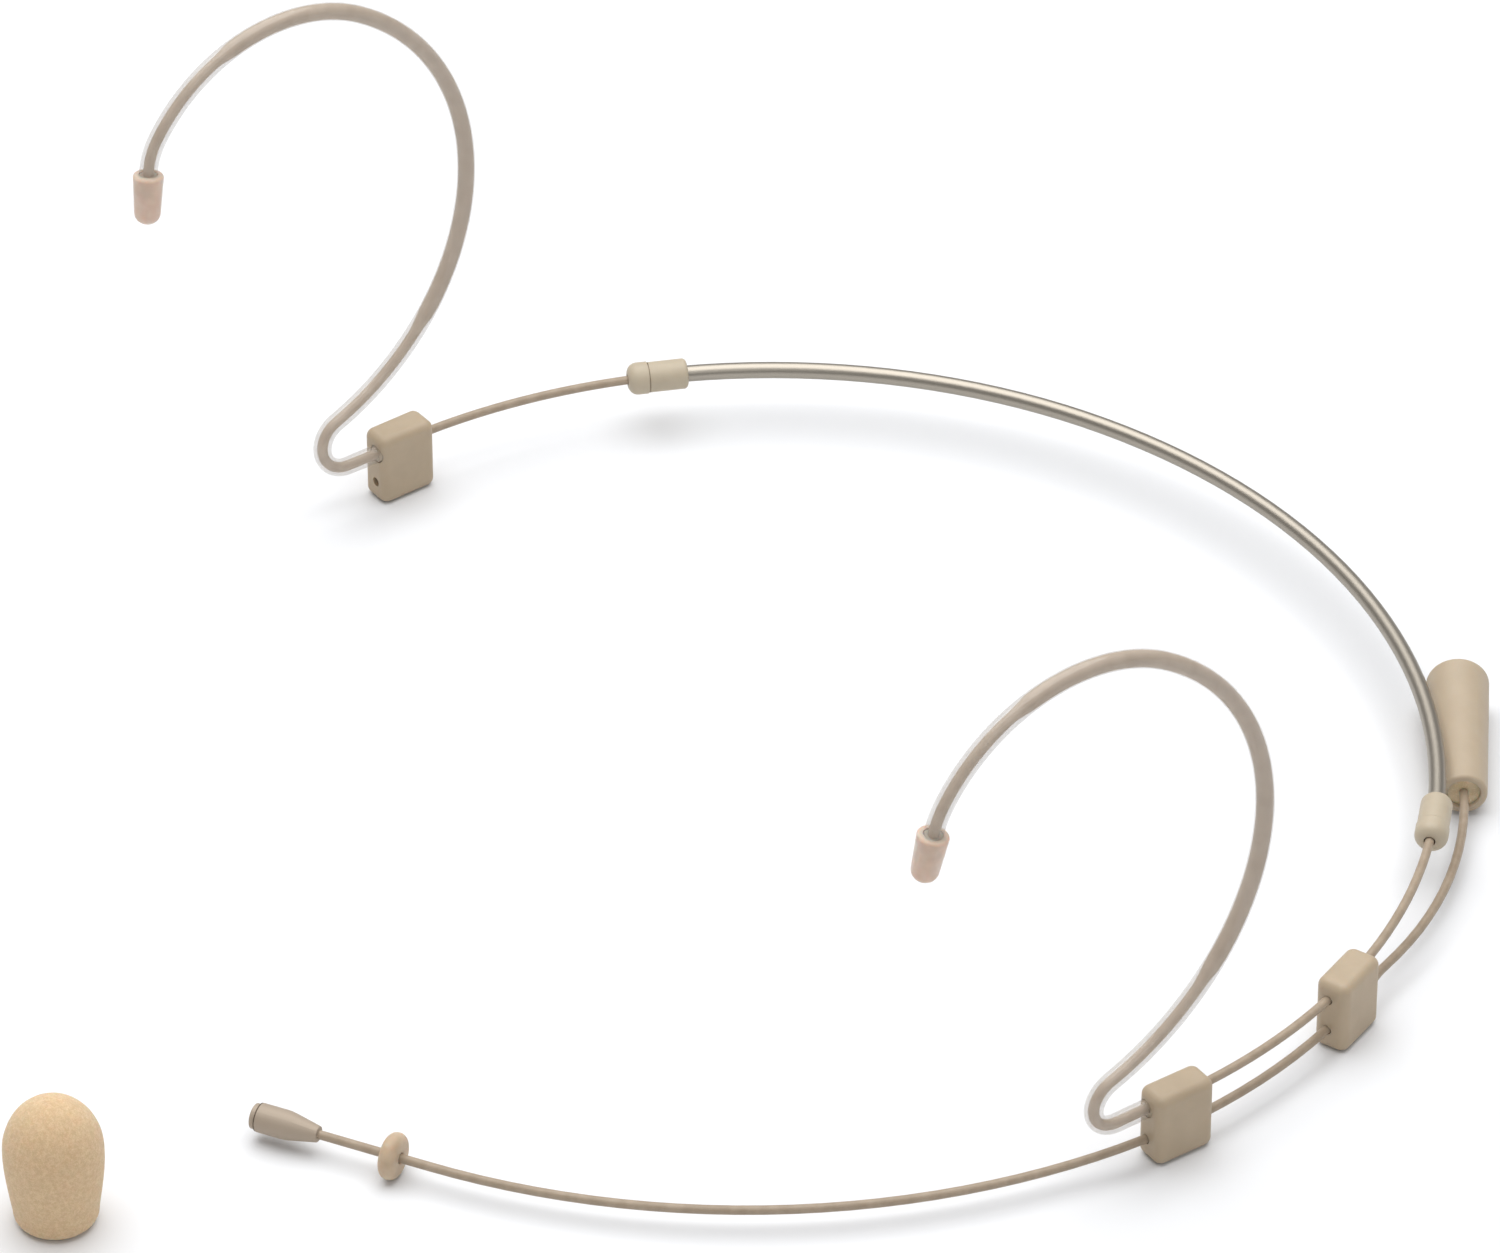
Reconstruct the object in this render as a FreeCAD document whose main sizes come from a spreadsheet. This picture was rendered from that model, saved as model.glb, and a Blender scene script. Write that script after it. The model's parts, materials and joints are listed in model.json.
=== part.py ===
"""Headset microphone: a neckband with two ear hooks, a sliding microphone boom and a foam windscreen.

Frame: millimetres, +Z up, -Y towards the wearer's face, +X towards the wearer's left ear.
The origin is the middle of the whole model's footprint, on the surface it lies on.
The ear blocks, the keeper, the drip ring and the connector rest on that surface.
Round pieces are drawn along their own axis, from a named end, and are then put in place.
"""
import FreeCAD, Part
import math
import os
import Sketcher

from FreeCAD import Placement, Rotation, Vector

SIZES = {
    # the arc that one side's wire, its end of the band and the guided stretch of the boom share;
    # the other side mirrors it, and a flatter arc bridges the two behind the head
    "arc_radius": 70.42,
    "arc_centre_x": 1.72,
    "arc_centre_y": 4.46,
    "bridge_from_deg": 66.0,
    "footprint_shift": 13.186,
    # ear blocks and the keeper, one moulding
    "block_width": 4.0,
    "block_length": 7.3,
    "block_height": 8.9,
    "block_round": 1.05,
    "block_front_y": -0.6,
    "block_offset": 0.3,
    "bore_inset": 0.347,
    "lower_bore_height": 2.6,
    "upper_bore_height": 6.63,
    "guide_bore_radius": 0.56,
    "sleeve_inset": 0.176,
    "sleeve_socket_radius": 1.1,
    "sleeve_socket_depth": 2.0,
    "keeper_angle": 20.75,
    # neckband, glands and the wires that slide in them
    "tube_radius": 0.95,
    "tube_bore_radius": 0.62,
    "tube_in_gland": 3.2,
    "wire_radius": 0.5,
    "left_wire_span_deg": 62.5,
    "right_wire_span_deg": 47.0,
    "left_gland_angle": 45.1,
    "right_gland_angle": 24.9,
    "gland_length": 6.9,
    "gland_radius": 1.76,
    "gland_nose_radius": 1.86,
    "gland_nose_length": 2.3,
    "gland_groove_radius": 1.58,
    "gland_groove_width": 0.16,
    "gland_nose_round": 1.15,
    "gland_edge": 0.45,
    "gland_wire_hole": 0.64,
    "gland_pilot_hole": 0.4,
    "bush_radius": 1.2,
    "bush_bore_radius": 0.58,
    "bush_start": 0.9,
    "bush_length": 2.0,
    # ear hooks: a straight run, then four bends that lean a little out of one plane
    "hook_run": 3.8,
    "hook_bend_one": 3.27,
    "hook_turn_one": 158.1,
    "hook_roll_one": 3.1,
    "hook_bend_two": 29.93,
    "hook_turn_two": 125.7,
    "hook_roll_two": 2.8,
    "hook_bend_three": 19.6,
    "hook_turn_three": 89.9,
    "hook_roll_three": -0.55,
    "hook_bend_four": 9.0,
    "hook_turn_four": 25.2,
    "hook_roll_four": 13.96,
    "sleeve_radius": 1.05,
    "sleeve_bore_radius": 0.55,
    "sleeve_in_cap": 1.9,
    "core_in_cap": 3.8,
    "cap_length": 5.9,
    "cap_radius": 1.74,
    "cap_end_radius": 1.42,
    "cap_socket_radius": 1.07,
    "cap_core_radius": 0.52,
    "cap_rim_round": 0.35,
    "cap_end_round": 1.35,
    # boom: guided arc, front bends to the capsule, rear bends to the connector
    "boom_radius": 0.5,
    "boom_bore_radius": 0.3,
    "cable_radius": 0.25,
    "boom_front_angle": 9.0,
    "boom_rear_angle": 26.4,
    "front_bend": 81.3,
    "front_turn": 50.85,
    "front_run": 12.7,
    "rear_bend_one": 15.0,
    "rear_turn_one": 8.8,
    "rear_bend_two": 50.4,
    "rear_turn_two": 35.7,
    "rear_roll_two": 2.65,
    "boom_in_capsule": 1.6,
    "boom_in_connector": 4.6,
    # drip ring on the boom's straight front run
    "ring_radius": 2.58,
    "ring_bore_radius": 0.55,
    "ring_thickness": 1.86,
    "ring_round": 0.9,
    "ring_lip_round": 0.25,
    "ring_from_capsule": 8.63,
    # capsule, measured from its rear end
    "capsule_radius": 1.6,
    "capsule_rear_radius": 0.88,
    "capsule_taper_end": 3.6,
    "capsule_shoulder": 6.9,
    "capsule_length": 7.6,
    "capsule_cavity_radius": 1.15,
    "capsule_smooth": 5.0,
    "capsule_rear_round": 0.15,
    "capsule_edge": 0.1,
    "capsule_cap_radius": 1.4,
    "capsule_cap_round": 0.12,
    "sound_hole_radius": 0.8,
    "screen_front": 7.3,
    "screen_thickness": 0.12,
    "element_radius": 0.95,
    "element_start": 4.4,
    "gasket_start": 5.1,
    "gasket_length": 1.2,
    "board_thickness": 0.4,
    "board_radius": 1.0,
    # connector, measured from the end that the boom enters
    "connector_length": 20.0,
    "connector_wire_radius": 2.6,
    "connector_far_radius": 3.55,
    "connector_round": 0.85,
    "connector_lip_round": 0.4,
    "connector_cavity_radius": 2.4,
    "connector_cavity_start": 5.5,
    "potting_radius": 1.8,
    "potting_start": 0.5,
    "potting_end": 4.0,
    "web_hole_radius": 0.9,
    "insulator_start": 10.5,
    "insulator_end": 12.4,
    "contact_radius": 0.45,
    "contact_bore_radius": 0.2,
    "contact_bore_depth": 2.0,
    "contact_start": 9.0,
    "socket_bore_radius": 1.7,
    "socket_end": 19.6,
    # foam windscreen, standing on its open end
    "foam_x": 13.5,
    "foam_y": -98.55,
    "foam_height": 15.5,
    "foam_radius": 5.33,
    "foam_base_radius": 4.55,
    "foam_widest_at": 9.2,
    "foam_base_round": 1.5,
    "foam_top_round": 4.9,
    "foam_bore_radius": 1.45,
    "foam_bore_depth": 9.0,
}

UP = Vector(0, 0, 1)
doc = FreeCAD.newDocument("HeadsetMicrophone")
sheet = doc.addObject("Spreadsheet::Sheet", "Dimensions")
parts = []


def fill_sheet():
    """One row for each driving dimension: its name, its value and the alias."""
    for row, (name, value) in enumerate(SIZES.items(), start=1):
        sheet.set(f"A{row}", name)
        sheet.set(f"B{row}", str(value))
        sheet.setAlias(f"B{row}", name)
    doc.recompute()


def amount(text):
    """Value of a sum such as "ring_radius - ring_round"."""
    total, sign = 0.0, 1
    for word in text.split():
        if word in ("+", "-"):
            sign = 1 if word == "+" else -1
        else:
            total += sign * (sheet.get(word) if word in SIZES else float(word))
    return total


def formula(text):
    """The same sum as an expression on the sheet."""
    return " ".join(f"Dimensions.{word}" if word in SIZES else word for word in text.split())


# ---------------------------------------------------------------- places

def stance():
    """From the middle of the ear line, where the headset is laid out, to the middle of the footprint."""
    return Placement(Vector(0, amount("footprint_shift"), 0), Rotation())


def arc_centre(side, height=0.0):
    """Centre of one side's arc."""
    return Vector(side * amount("arc_centre_x"), amount("arc_centre_y"), height)


def outward(angle, side):
    """Direction away from the centre of a side's arc."""
    turn = math.radians(angle)
    return Vector(side * math.cos(turn), math.sin(turn), 0)


def on_arc(angle, height, side=1):
    """A point of a side's arc, its angle taken backwards from the side."""
    return arc_centre(side, height) + outward(angle, side) * amount("arc_radius")


def along_arc(angle, side=1):
    """Direction of a side's arc, backwards."""
    return UP.cross(outward(angle, side)) * side


def along(point, direction):
    """Placement of a round piece whose own axis is Z."""
    return stance().multiply(Placement(point, Rotation(UP, direction)))


def block_angle():
    """Angle at which an ear block's middle sits on the arc."""
    middle_y = amount("block_front_y") + amount("block_length") / 2
    return math.degrees(math.asin((middle_y - amount("arc_centre_y")) / amount("arc_radius")))


# ---------------------------------------------------------------- sketches and bodies

def new_body(label):
    body = doc.addObject("PartDesign::Body", label)
    body.Label = label
    return body


def base_plane(body, role):
    return next(item for item in body.Origin.OriginFeatures if item.Role == role)


def new_sketch(body, name, role="XZ_Plane"):
    sketch = body.newObject("Sketcher::SketchObject", name)
    sketch.AttachmentSupport = [(base_plane(body, role), "")]
    sketch.MapMode = "FlatFace"
    return sketch


def pin_point(sketch, line, end, x, y):
    """Fixes one end of a line at sums of named dimensions."""
    for kind, text, axis in (("DistanceX", x, -2), ("DistanceY", y, -1)):
        if amount(text) == 0:
            sketch.addConstraint(Sketcher.Constraint("PointOnObject", line, end, axis))
        else:
            index = sketch.addConstraint(Sketcher.Constraint(kind, -1, 1, line, end, amount(text)))
            sketch.setExpression(f"Constraints[{index}]", formula(text))


def outline(body, name, corners):
    """Closed outline through corners (distance from the axis, distance along it)."""
    sketch = new_sketch(body, name)
    points = [Vector(amount(x), amount(y), 0) for x, y in corners]
    for here, there in zip(points, points[1:] + points[:1]):
        sketch.addGeometry(Part.LineSegment(here, there), False)
    for line in range(len(points)):
        sketch.addConstraint(Sketcher.Constraint("Coincident", line, 2, (line + 1) % len(points), 1))
        pin_point(sketch, line, 1, *corners[line])
    return sketch


def circle_sketch(body, name, x, y, *radii):
    """Circles about one centre."""
    sketch = new_sketch(body, name)
    for number, radius in enumerate(radii):
        centre = Vector(amount(x), amount(y), 0)
        sketch.addGeometry(Part.Circle(centre, Vector(0, 0, 1), amount(radius)), False)
        pin_point(sketch, number, 3, x, y)
        index = sketch.addConstraint(Sketcher.Constraint("Radius", number, amount(radius)))
        sketch.setExpression(f"Constraints[{index}]", formula(radius))
    return sketch


def revolve(body, sketch, angle="360"):
    feature = body.newObject("PartDesign::Revolution", f"{body.Name}_turned")
    feature.Profile = sketch
    feature.ReferenceAxis = (sketch, ["V_Axis"])
    feature.Angle = amount(angle)
    if angle != "360":
        feature.setExpression("Angle", formula(angle))
    sketch.Visibility = False
    doc.recompute()
    return feature


def round_rims(body, rims, radius):
    """Rounds the circular edges found at (distance from the axis, distance along it)."""
    base = body.Tip
    names = []
    for number, edge in enumerate(base.Shape.Edges, start=1):
        if not isinstance(edge.Curve, Part.Circle):
            continue
        for rim_radius, height in rims:
            same_radius = abs(edge.Curve.Radius - amount(rim_radius)) < 1e-4
            same_height = abs(edge.Curve.Center.z - amount(height)) < 1e-4
            if same_radius and same_height:
                names.append(f"Edge{number}")
    fillet = body.newObject("PartDesign::Fillet", f"{body.Name}_rounded")
    fillet.Base = (base, sorted(set(names)))
    fillet.Radius = amount(radius)
    fillet.setExpression("Radius", formula(radius))
    doc.recompute()
    return fillet


def turned(label, corners, place, rounds=()):
    """A piece turned about its own Z axis."""
    body = new_body(label)
    revolve(body, outline(body, f"{label}_outline", corners))
    for rims, radius in rounds:
        round_rims(body, rims, radius)
    body.Placement = place
    return body


def keep(item, label=None):
    """Lists an object as a finished sub-part."""
    if label:
        item.Label = label
    parts.append(item)
    return item


# ---------------------------------------------------------------- bent wires and tubes

def start_at(point, heading, normal):
    """A bent line: where it is, where it heads, which side it bends to, and its pieces so far."""
    return {"point": point, "heading": heading, "normal": normal, "moves": []}


def run(line, length):
    """Goes straight on."""
    line["moves"].append(("run", line["point"], line["heading"], length))
    line["point"] = line["point"] + line["heading"] * length


def bend(line, radius, angle, roll=0.0):
    """Bends towards the normal, or away from it where the angle is negative."""
    normal = Rotation(line["heading"], roll).multVec(line["normal"])
    side = normal if angle > 0 else normal * -1
    centre = line["point"] + side * radius
    axis = line["heading"].cross(side)
    turn = Rotation(axis, abs(angle))
    line["moves"].append(("bend", line["point"], line["heading"], centre, axis, abs(angle)))
    line["point"] = centre + turn.multVec(line["point"] - centre)
    line["heading"] = turn.multVec(line["heading"])
    line["normal"] = turn.multVec(normal)


def tube_solid(line, outer, inner=0.0):
    """The solid of a round wire or tube that follows a bent line."""
    pieces = []
    for move in line["moves"]:
        point, heading = move[1], move[2]
        rings = [Part.Wire(Part.makeCircle(radius, point, heading)) for radius in (outer, inner) if radius]
        face = Part.Face(rings[0]) if len(rings) == 1 else Part.Face(rings[0]).cut(Part.Face(rings[1])).Faces[0]
        if move[0] == "run":
            pieces.append(face.extrude(heading * move[3]))
        else:
            pieces.append(face.revolve(move[3], move[4], move[5]))
    solid = pieces[0].fuse(pieces[1:]) if len(pieces) > 1 else pieces[0]
    return solid.removeSplitter().Solids[0]


def line_length(line):
    """Length along a bent line."""
    total = 0.0
    for move in line["moves"]:
        if move[0] == "run":
            total += move[3]
        else:
            total += math.radians(move[5]) * (move[1] - move[3]).Length
    return total


def bent(label, line, outer, inner=None):
    """A bent wire or tube as a sub-part, with its volume compared with section times length."""
    outer_radius = amount(outer)
    inner_radius = amount(inner) if inner else 0.0
    shape = tube_solid(line, outer_radius, inner_radius)
    wanted = math.pi * (outer_radius ** 2 - inner_radius ** 2) * line_length(line)
    if abs(shape.Volume / wanted - 1) > 0.002:
        raise RuntimeError(f"{label}: volume {shape.Volume:.3f}, expected {wanted:.3f}")
    feature = doc.addObject("Part::Feature", label)
    feature.Shape = shape
    feature.Placement = stance()
    return keep(feature)


def side_wire(side_name, side):
    """The wire of one side, from the bottom of the sleeve's socket to its tail in the band."""
    body = new_body(f"{side_name}_band_wire")
    sketch = circle_sketch(body, f"{side_name}_wire_section", "arc_radius", "upper_bore_height", "wire_radius")
    span = f"{side_name}_wire_span_deg"
    revolve(body, sketch, span)
    socket_y = amount("block_front_y + sleeve_socket_depth - arc_centre_y")
    first = math.degrees(math.asin(socket_y / amount("arc_radius")))
    if side < 0:
        first = 180 - first - amount(span)
    body.Placement = stance().multiply(Placement(arc_centre(side), Rotation(UP, first)))
    return keep(body)


# ---------------------------------------------------------------- blocks

def pocket_bore(body, name, across, height, radius, depth=None):
    """A bore along the block's length, through or from the front face."""
    sketch = circle_sketch(body, name, across, height, radius)
    pocket = body.newObject("PartDesign::Pocket", f"{name}_cut")
    pocket.Profile = sketch
    pocket.Type = "Length"
    if depth is None:
        pocket.Midplane = True
        pocket.Length = 2 * amount("block_length")
        pocket.setExpression("Length", formula("block_length + block_length"))
    else:
        front = amount("block_length") / 2
        sketch.AttachmentOffset = Placement(Vector(0, 0, front), Rotation())
        sketch.setExpression(".AttachmentOffset.Base.z", "Dimensions.block_length / 2")
        pocket.Length = amount(depth)
        pocket.setExpression("Length", formula(depth))
    doc.recompute()


def block(label, angle, side, socket):
    """A moulded block with two bores; an ear block has the sleeve's socket in its front."""
    body = new_body(label)
    sketch = new_sketch(body, f"{label}_face")
    half = amount("block_width") / 2
    tall = amount("block_height")
    corners = [Vector(-half, 0, 0), Vector(half, 0, 0), Vector(half, tall, 0), Vector(-half, tall, 0)]
    for here, there in zip(corners, corners[1:] + corners[:1]):
        sketch.addGeometry(Part.LineSegment(here, there), False)
    for line in range(4):
        sketch.addConstraint(Sketcher.Constraint("Coincident", line, 2, (line + 1) % 4, 1))
    sketch.addConstraint(Sketcher.Constraint("Horizontal", 2))
    for line in (1, 3):
        sketch.addConstraint(Sketcher.Constraint("Vertical", line))
    sketch.addConstraint(Sketcher.Constraint("Symmetric", 0, 1, 0, 2, -2))
    sketch.addConstraint(Sketcher.Constraint("PointOnObject", 0, 1, -1))
    width = sketch.addConstraint(Sketcher.Constraint("DistanceX", 0, 1, 0, 2, 2 * half))
    sketch.setExpression(f"Constraints[{width}]", formula("block_width"))
    height = sketch.addConstraint(Sketcher.Constraint("DistanceY", 1, 1, 1, 2, tall))
    sketch.setExpression(f"Constraints[{height}]", formula("block_height"))
    pad = body.newObject("PartDesign::Pad", f"{label}_pad")
    pad.Profile = sketch
    pad.Midplane = True
    pad.Length = amount("block_length")
    pad.setExpression("Length", formula("block_length"))
    doc.recompute()
    fillet = body.newObject("PartDesign::Fillet", f"{label}_edges")
    fillet.Base = (pad, [f"Edge{number + 1}" for number in range(len(pad.Shape.Edges))])
    fillet.Radius = amount("block_round")
    fillet.setExpression("Radius", formula("block_round"))
    doc.recompute()
    inwards = "0 -" if side > 0 else "0 +"
    across = f"{inwards} bore_inset"
    bores = [("lower", across, "lower_bore_height", "guide_bore_radius", None),
             ("upper", across, "upper_bore_height", "guide_bore_radius", None)]
    if socket:
        across = f"{across} {inwards[-1]} sleeve_inset"
        bores.append(("socket", across, "upper_bore_height", "sleeve_socket_radius", "sleeve_socket_depth"))
    for name, *sizes in bores:
        volume = body.Tip.Shape.Volume
        pocket_bore(body, f"{label}_{name}", *sizes)
        if body.Tip.Shape.Volume > volume - 1:
            raise RuntimeError(f"{label}: the {name} bore removes nothing")
    body.Placement = block_place(angle, side)
    return keep(body)


def block_place(angle, side):
    """A block at an angle of its side's arc, a little outside it, its length along the arc.
    The straight bores lie slightly inside the arc, midway between its middle and its ends."""
    middle = on_arc(angle, 0, side) + outward(angle, side) * amount("block_offset")
    return stance().multiply(Placement(middle, Rotation(UP, side * angle)))


def socket_bottom(side):
    """Where the sleeve's socket ends in an ear block, before the shift to the footprint's middle."""
    across = -side * amount("bore_inset + sleeve_inset")
    back = amount("sleeve_socket_depth") - amount("block_length") / 2
    place = stance().inverse().multiply(block_place(block_angle(), side))
    return place.multVec(Vector(across, back, amount("upper_bore_height")))


# ---------------------------------------------------------------- neckband

def make_gland(side_name, side):
    """End fitting of the neckband tube: a friction bush in it grips the wire."""
    label = f"{side_name}_gland"
    angle = amount(f"{side_name}_gland_angle")
    direction = along_arc(angle, side)
    wire_end = on_arc(angle, amount("upper_bore_height"), side) - direction * (amount("gland_length") / 2)
    place = Placement(wire_end, Rotation(UP, direction))
    corners = [
        ("gland_pilot_hole", "0"), ("gland_nose_radius", "0"),
        ("gland_nose_radius", "gland_nose_length"), ("gland_groove_radius", "gland_nose_length"),
        ("gland_groove_radius", "gland_nose_length + gland_groove_width"),
        ("gland_radius", "gland_nose_length + gland_groove_width"),
        ("gland_radius", "gland_length"), ("gland_pilot_hole", "gland_length"),
        ("gland_pilot_hole", "bush_start + bush_length"), ("bush_radius", "bush_start + bush_length"),
        ("bush_radius", "bush_start"), ("gland_pilot_hole", "bush_start"),
    ]
    rounds = [([("gland_nose_radius", "0")], "gland_nose_round"),
              ([("gland_radius", "gland_length")], "gland_edge")]
    blank = turned(f"{label}_blank", corners, place, rounds)
    passage = doc.addObject("Part::Torus", f"{label}_passage")
    passage.setExpression("Radius1", formula("arc_radius"))
    passage.setExpression("Radius2", formula("gland_wire_hole"))
    seat = doc.addObject("Part::Torus", f"{label}_seat")
    seat.setExpression("Radius1", formula("arc_radius"))
    seat.setExpression("Radius2", formula("tube_radius"))
    span = math.degrees(amount("tube_in_gland + 2") / amount("arc_radius"))
    seat.Angle3 = span
    first = tube_end_angle(side_name)
    if side < 0:
        first = 180 - first - span
    centre = arc_centre(side, amount("upper_bore_height"))
    passage.Placement = Placement(centre, Rotation())
    seat.Placement = Placement(centre, Rotation(UP, first))
    tools = doc.addObject("Part::MultiFuse", f"{label}_tools")
    tools.Shapes = [passage, seat]
    gland = doc.addObject("Part::Cut", label)
    gland.Base = blank
    gland.Tool = tools
    gland.Placement = stance()
    keep(gland, label)
    bush_from = wire_end + direction * amount("bush_start")
    bush = turned(f"{side_name}_gland_bush", [
        ("bush_bore_radius", "0"), ("bush_radius", "0"),
        ("bush_radius", "bush_length"), ("bush_bore_radius", "bush_length"),
    ], along(bush_from, direction))
    keep(bush)


def tube_end_angle(side_name):
    """Angle of the neckband tube's end inside a gland."""
    into_gland = amount("gland_length") / 2 - amount("tube_in_gland")
    return amount(f"{side_name}_gland_angle") + math.degrees(into_gland / amount("arc_radius"))


def make_band():
    """Neckband tube between the glands, and the two wires that slide in it."""
    first = tube_end_angle("left")
    bridge_from = amount("bridge_from_deg")
    bridge_radius = amount("arc_radius") + amount("arc_centre_x") / math.cos(math.radians(bridge_from))
    line = start_at(on_arc(first, amount("upper_bore_height")), along_arc(first), outward(first, 1) * -1)
    bend(line, amount("arc_radius"), bridge_from - first)
    bend(line, bridge_radius, 180 - 2 * bridge_from)
    bend(line, amount("arc_radius"), bridge_from - tube_end_angle("right"))
    bent("neckband_tube", line, "tube_radius", "tube_bore_radius")
    for side_name, side in (("left", 1), ("right", -1)):
        make_gland(side_name, side)
        side_wire(side_name, side)


# ---------------------------------------------------------------- ear hooks

def hook_line(side, end_run):
    """Centre line of an ear hook, from the bottom of the block's socket to inside the tip cap."""
    line = start_at(socket_bottom(side), Vector(0, -1, 0), Vector(0, 0, 1))
    run(line, amount("sleeve_socket_depth + hook_run"))
    bend(line, amount("hook_bend_one"), amount("hook_turn_one"), -side * amount("hook_roll_one"))
    bend(line, amount("hook_bend_two"), -amount("hook_turn_two"), -side * amount("hook_roll_two"))
    bend(line, amount("hook_bend_three"), -amount("hook_turn_three"), -side * amount("hook_roll_three"))
    bend(line, amount("hook_bend_four"), -amount("hook_turn_four"), -side * amount("hook_roll_four"))
    cap_start = (line["point"], line["heading"])
    run(line, end_run)
    return line, cap_start


def make_ear(side_name, side):
    """Block, wire core, clear sleeve and soft tip cap of one ear."""
    block(f"{side_name}_ear_block", block_angle(), side, True)
    core, cap_start = hook_line(side, amount("core_in_cap"))
    bent(f"{side_name}_hook_core", core, "wire_radius")
    sleeve, cap_start = hook_line(side, amount("sleeve_in_cap"))
    bent(f"{side_name}_hook_sleeve", sleeve, "sleeve_radius", "sleeve_bore_radius")
    keep(turned(f"{side_name}_tip_cap", [
        ("cap_socket_radius", "0"), ("cap_radius", "0"), ("cap_end_radius", "cap_length"),
        ("0", "cap_length"), ("0", "core_in_cap"), ("cap_core_radius", "core_in_cap"),
        ("cap_core_radius", "sleeve_in_cap"), ("cap_socket_radius", "sleeve_in_cap"),
    ], along(*cap_start), [
        ([("cap_radius", "0")], "cap_rim_round"), ([("cap_end_radius", "cap_length")], "cap_end_round"),
    ]))


# ---------------------------------------------------------------- boom

def boom_line(front_extra, rear_extra):
    """Centre line of the boom, from the capsule to the connector, and the two end frames."""
    height = amount("lower_bore_height")
    front = -amount("boom_front_angle")
    inwards = outward(front, 1) * -1
    line = start_at(on_arc(front, height), along_arc(front) * -1, inwards)
    bend(line, amount("front_bend"), amount("front_turn"))
    run(line, amount("front_run"))
    capsule = (line["point"], line["heading"])
    run(line, front_extra)
    front_moves = line["moves"]
    back = start_at(on_arc(front, height), along_arc(front), inwards)
    bend(back, amount("arc_radius"), amount("boom_front_angle + boom_rear_angle"))
    bend(back, amount("rear_bend_one"), -amount("rear_turn_one"))
    bend(back, amount("rear_bend_two"), amount("rear_turn_two"), amount("rear_roll_two"))
    connector = (back["point"], back["heading"])
    run(back, rear_extra)
    back["moves"] = front_moves + back["moves"]
    return back, capsule, connector


def make_boom():
    """Boom tube with the signal cable in it, and the drip ring."""
    tube, capsule, connector = boom_line(amount("boom_in_capsule"), amount("boom_in_connector"))
    bent("boom_tube", tube, "boom_radius", "boom_bore_radius")
    to_board = amount("element_start - board_thickness")
    cable, capsule, connector = boom_line(to_board, amount("contact_start"))
    bent("signal_cable", cable, "cable_radius")
    point, heading = capsule
    ring_from = point - heading * (amount("ring_from_capsule") + amount("ring_thickness") / 2)
    keep(turned("drip_ring", [
        ("ring_bore_radius", "0"), ("ring_radius", "0"),
        ("ring_radius", "ring_thickness"), ("ring_bore_radius", "ring_thickness"),
    ], along(ring_from, heading), [
        ([("ring_radius", "0"), ("ring_radius", "ring_thickness")], "ring_round"),
        ([("ring_bore_radius", "0"), ("ring_bore_radius", "ring_thickness")], "ring_lip_round"),
    ]))
    return capsule, connector


def make_capsule(point, heading):
    """Housing, front cap, screen, microphone element, its gasket and its board."""
    place = along(point, heading)
    pieces = {
        "capsule_housing": ([
            ("boom_radius", "0"), ("capsule_rear_radius", "0"),
            ("capsule_radius", "capsule_taper_end"), ("capsule_radius", "capsule_shoulder"),
            ("capsule_cavity_radius", "capsule_shoulder"), ("capsule_cavity_radius", "boom_in_capsule"),
            ("boom_radius", "boom_in_capsule"),
        ], [
            ([("capsule_radius", "capsule_taper_end")], "capsule_smooth"),
            ([("capsule_rear_radius", "0")], "capsule_rear_round"),
            ([("capsule_radius", "capsule_shoulder")], "capsule_edge"),
        ]),
        "capsule_front_cap": ([
            ("capsule_cavity_radius", "capsule_shoulder"), ("capsule_cap_radius", "capsule_shoulder"),
            ("capsule_cap_radius", "capsule_length"), ("sound_hole_radius", "capsule_length"),
            ("sound_hole_radius", "screen_front"), ("capsule_cavity_radius", "screen_front"),
        ], [([("capsule_cap_radius", "capsule_length")], "capsule_cap_round")]),
        "capsule_screen": ([
            ("0", "screen_front - screen_thickness"),
            ("capsule_cavity_radius", "screen_front - screen_thickness"),
            ("capsule_cavity_radius", "screen_front"), ("0", "screen_front"),
        ], []),
        "mic_element": ([
            ("0", "element_start"), ("element_radius", "element_start"),
            ("element_radius", "capsule_shoulder"), ("0", "capsule_shoulder"),
        ], []),
        "element_gasket": ([
            ("element_radius", "gasket_start"), ("capsule_cavity_radius", "gasket_start"),
            ("capsule_cavity_radius", "gasket_start + gasket_length"),
            ("element_radius", "gasket_start + gasket_length"),
        ], []),
        "element_board": ([
            ("0", "element_start - board_thickness"), ("board_radius", "element_start - board_thickness"),
            ("board_radius", "element_start"), ("0", "element_start"),
        ], []),
    }
    for label, (corners, rounds) in pieces.items():
        keep(turned(label, corners, place, rounds))


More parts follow.
